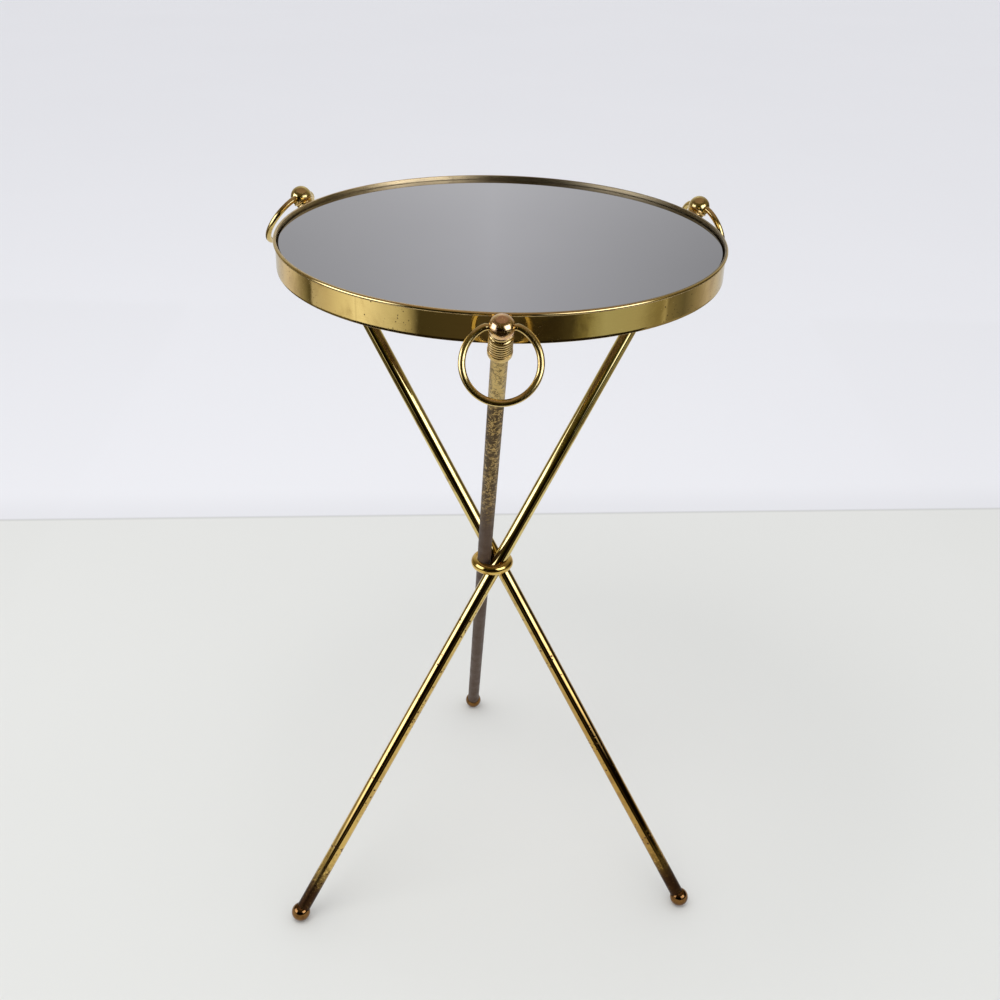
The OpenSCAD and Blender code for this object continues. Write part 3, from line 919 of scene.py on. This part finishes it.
def tent_paint(tree):
    """What polished brass sees: two softboxes, a dark room before the table and a pale wall behind it.

    Rings of light lie one above the other: the skirt, which the rim's band mirrors, a dim ring, the
    softboxes, which the legs and balls mirror, and the dark upper part of the room.

    Most of the skirt's stops are measured, not designed: they are colour samples of the band in the
    photograph, divided by the brass's colour, at the bearings that a helper program gave for those spots.
    The other rings were placed from samples of the legs, balls and glass in the same way.
    """
    where = tree.local()
    x, y, z = tree.parts(where)
    turn = tree.maths("ARCTAN2", x, tree.maths("MULTIPLY", y, -1.0))
    bearing = tree.maths("ADD", tree.maths("MULTIPLY", turn, 1 / (2 * math.pi)), 0.5)
    wall = (0.78, 0.78, 0.80)
    side = (0.58, 0.58, 0.59)
    dim_side = (0.50, 0.50, 0.51)
    warm = (0.72, 0.66, 0.62)
    dark = (0.060, 0.052, 0.030)
    black = (0.004, 0.002, 0.001)
    lamp = (3.1, 3.3, 4.3)
    skirt = bearing_ramp(tree, bearing, [
        (-180, wall), (-150, side), (-128, warm), (-119, (0.60, 0.56, 0.50)), (-112, (0.32, 0.30, 0.22)),
        (-105, (0.09, 0.08, 0.04)), (-103.6, (0.08, 0.07, 0.04)), (-102.8, (0.55, 0.53, 0.50)),
        (-92, (0.64, 0.60, 0.54)), (-80, (0.86, 0.84, 0.76)), (-68, (1.04, 1.04, 1.00)),
        (-58, (0.80, 0.79, 0.74)), (-50, (0.66, 0.65, 0.58)), (-43, (0.44, 0.42, 0.34)), (-38, dark),
        (-10, (0.075, 0.06, 0.035)), (24, (0.050, 0.042, 0.022)), (33, dark), (40, (0.26, 0.25, 0.14)),
        (50, (0.43, 0.45, 0.36)), (68, (0.41, 0.41, 0.32)), (80, (0.27, 0.25, 0.16)),
        (84, (0.27, 0.25, 0.16)), (85, (0.62, 0.60, 0.48)), (86.5, (0.22, 0.20, 0.14)),
        (100, (0.13, 0.12, 0.09)), (112, (0.30, 0.27, 0.22)), (124, (0.54, 0.50, 0.48)),
        (150, side), (180, wall),
    ])
    dim = bearing_ramp(tree, bearing, [
        (-180, wall), (-150, side), (-134, (0.30, 0.26, 0.20)), (-112, (0.16, 0.13, 0.07)),
        (-98, (0.30, 0.28, 0.20)), (-58, (0.32, 0.30, 0.22)), (-44, black), (118, black),
        (136, (0.30, 0.26, 0.20)), (150, side), (180, wall),
    ])
    low_boxes = bearing_ramp(tree, bearing, [
        (-180, wall), (-150, side), (-134, (0.30, 0.26, 0.18)), (-118, (0.13, 0.11, 0.06)),
        (-97, (0.13, 0.11, 0.06)), (-87, lamp), (-55, lamp), (-45, black), (26, black), (34, lamp),
        (66, lamp), (74, (0.36, 0.32, 0.22)), (82, (0.05, 0.035, 0.015)), (118, (0.04, 0.03, 0.015)),
        (136, (0.30, 0.26, 0.20)), (150, side), (180, wall),
    ])
    high_boxes = bearing_ramp(tree, bearing, [
        (-180, wall), (-164, side), (-132, (0.40, 0.36, 0.28)), (-116, (0.22, 0.19, 0.13)),
        (-97, (0.22, 0.19, 0.13)), (-90, lamp), (-54, lamp), (-42, (0.05, 0.045, 0.010)),
        (18, (0.05, 0.045, 0.010)), (28, lamp), (68, lamp), (76, (0.50, 0.46, 0.34)),
        (90, (0.18, 0.16, 0.10)), (118, (0.18, 0.16, 0.10)), (134, (0.40, 0.36, 0.28)),
        (163, dim_side), (180, wall),
    ])
    upper = bearing_ramp(tree, bearing, [
        (-180, wall), (-164, side), (-122, (0.24, 0.20, 0.16)), (-90, (0.14, 0.11, 0.075)),
        (-40, (0.10, 0.08, 0.03)), (40, (0.12, 0.095, 0.045)), (90, (0.16, 0.125, 0.085)),
        (122, (0.26, 0.22, 0.17)), (163, dim_side), (180, wall),
    ])
    right_half = tree.stretch(x, -0.1, 0.1)
    left_half = tree.maths("SUBTRACT", 1.0, right_half)
    left_rise = tree.maths("MULTIPLY", tree.stretch(z, 0.20, 0.50), left_half)
    right_rise = tree.maths("MULTIPLY", tree.stretch(z, 0.38, 0.58), right_half)
    left_top = tree.maths("MULTIPLY", tree.stretch(z, 1.20, 1.32), left_half)
    right_top = tree.maths("MULTIPLY", tree.stretch(z, 1.28, 1.46), right_half)
    lower = tree.blend(tree.stretch(z, 0.12, 0.15), skirt, dim)
    boxes = tree.blend(tree.stretch(z, 0.60, 1.10), low_boxes, high_boxes)
    middle = tree.blend(tree.maths("ADD", left_rise, right_rise), lower, boxes)
    return tree.blend(tree.maths("ADD", left_top, right_top), middle, upper)


def card_paint(colour):
    """The paint of one card: its colour, fading in soft patches to seven tenths of it."""
    faded = [0.7 * part for part in colour]
    return lambda tree: tree.blend(tree.noise(tree.local(), 3.0, 2.0), rgb(*colour), rgb(*faded))


def rectangle(name, low_x, high_x, low_y, high_y, z, material):
    """A level rectangle that belongs to the stage."""
    corners = [(low_x, low_y, z), (high_x, low_y, z), (high_x, high_y, z), (low_x, high_y, z)]
    mesh = bpy.data.meshes.new(name)
    mesh.from_pydata(corners, [], [(0, 1, 2, 3)])
    obj = bpy.data.objects.new(name, mesh)
    bpy.context.scene.collection.objects.link(obj)
    obj.data.materials.append(material)
    return obj


def add_tent():
    """The lit wall all round, seen only in reflections."""
    tent = lathe("light_tent", [(TENT_R, 0.002), (TENT_R, TENT_TOP)], even_angles(96), closed=False)
    tent.data.materials.append(glow("tent_light", tent_paint))
    ray_flags(tent, glossy=True)


def add_card(name, low_x, high_x, low_y, high_y, z, colour):
    """A level card seen only in reflections: the room's ceiling, or the floor as the brass sees it."""
    paint = glow(f"{name}_light", card_paint(colour))
    ray_flags(rectangle(name, low_x, high_x, low_y, high_y, z, paint), glossy=True)


def area_light(name, spot, target, size, power):
    """A round lamp that lights the rough surfaces and isn't mirrored in the polished ones."""
    data = bpy.data.lights.new(name, "AREA")
    data.shape = "DISK"
    data.size = size
    data.energy = power
    obj = bpy.data.objects.new(name, data)
    obj.location = spot
    obj.rotation_euler = (Vector(target) - Vector(spot)).to_track_quat("-Z", "Y").to_euler()
    bpy.context.scene.collection.objects.link(obj)
    ray_flags(obj, diffuse=True)


def add_world():
    """An even pale surround, shown without tone mapping."""
    world = bpy.data.worlds.new("studio")
    bpy.context.scene.world = world
    world.use_nodes = True
    background = world.node_tree.nodes["Background"]
    background.inputs["Color"].default_value = rgb(*PALE_WALL)
    background.inputs["Strength"].default_value = 1.0
    bpy.context.scene.view_settings.view_transform = "Standard"


rectangle("floor", -FLOOR_HALF, FLOOR_HALF, -FLOOR_HALF, FLOOR_HALF, 0.0, floor_material())
add_tent()
add_card("tent_ceiling", -CARD_HALF, CARD_HALF, -CARD_HALF, CARD_HALF, TENT_TOP, (0.36, 0.27, 0.25))
add_card("dark_floor", -CARD_HALF, CARD_HALF, -CARD_HALF, TABLE_FRONT, CARD_Z, (0.020, 0.015, 0.008))
add_card("left_floor", -CARD_HALF, -0.62, TABLE_FRONT, CARD_BACK, CARD_Z, (0.13, 0.11, 0.06))
add_card("right_floor", 0.66, CARD_HALF, TABLE_FRONT, CARD_BACK, CARD_Z, (0.30, 0.27, 0.20))
area_light("overhead_light", (-0.5, -0.6, 2.4), (0, 0, 0.2), 1.6, 14.0)
add_world()

# ---------------------------------------------------------------- camera

# A least-squares fit of the camera to the outline in the photograph gave these seven values.
CAMERA_BACK = 0.9568
CAMERA_UP = 0.9149
CAMERA_PITCH = math.radians(28.957)
CAMERA_YAW = math.radians(0.321)
CAMERA_ROLL = math.radians(1.704)
CAMERA_BEARING = math.radians(-0.63)
CAMERA_LENS = 45.40


def add_camera():
    """The camera stands before the table, a little to its left, looks down and leans slightly."""
    ahead = Vector((
        math.sin(CAMERA_YAW) * math.cos(CAMERA_PITCH), math.cos(CAMERA_YAW) * math.cos(CAMERA_PITCH),
        -math.sin(CAMERA_PITCH),
    ))
    level = Vector((math.cos(CAMERA_YAW), -math.sin(CAMERA_YAW), 0))
    upright = level.cross(ahead)
    right = math.cos(CAMERA_ROLL) * level + math.sin(CAMERA_ROLL) * upright
    matrix = axes_matrix(Vector((0, -CAMERA_BACK, CAMERA_UP)), right, -ahead)
    data = bpy.data.cameras.new("camera")
    data.lens = CAMERA_LENS
    camera = bpy.data.objects.new("camera", data)
    bpy.context.scene.collection.objects.link(camera)
    camera.matrix_world = Matrix.Rotation(CAMERA_BEARING, 4, "Z") @ matrix
    bpy.context.scene.camera = camera


add_camera()

# ---------------------------------------------------------------- closing lines

bpy.context.view_layer.update()
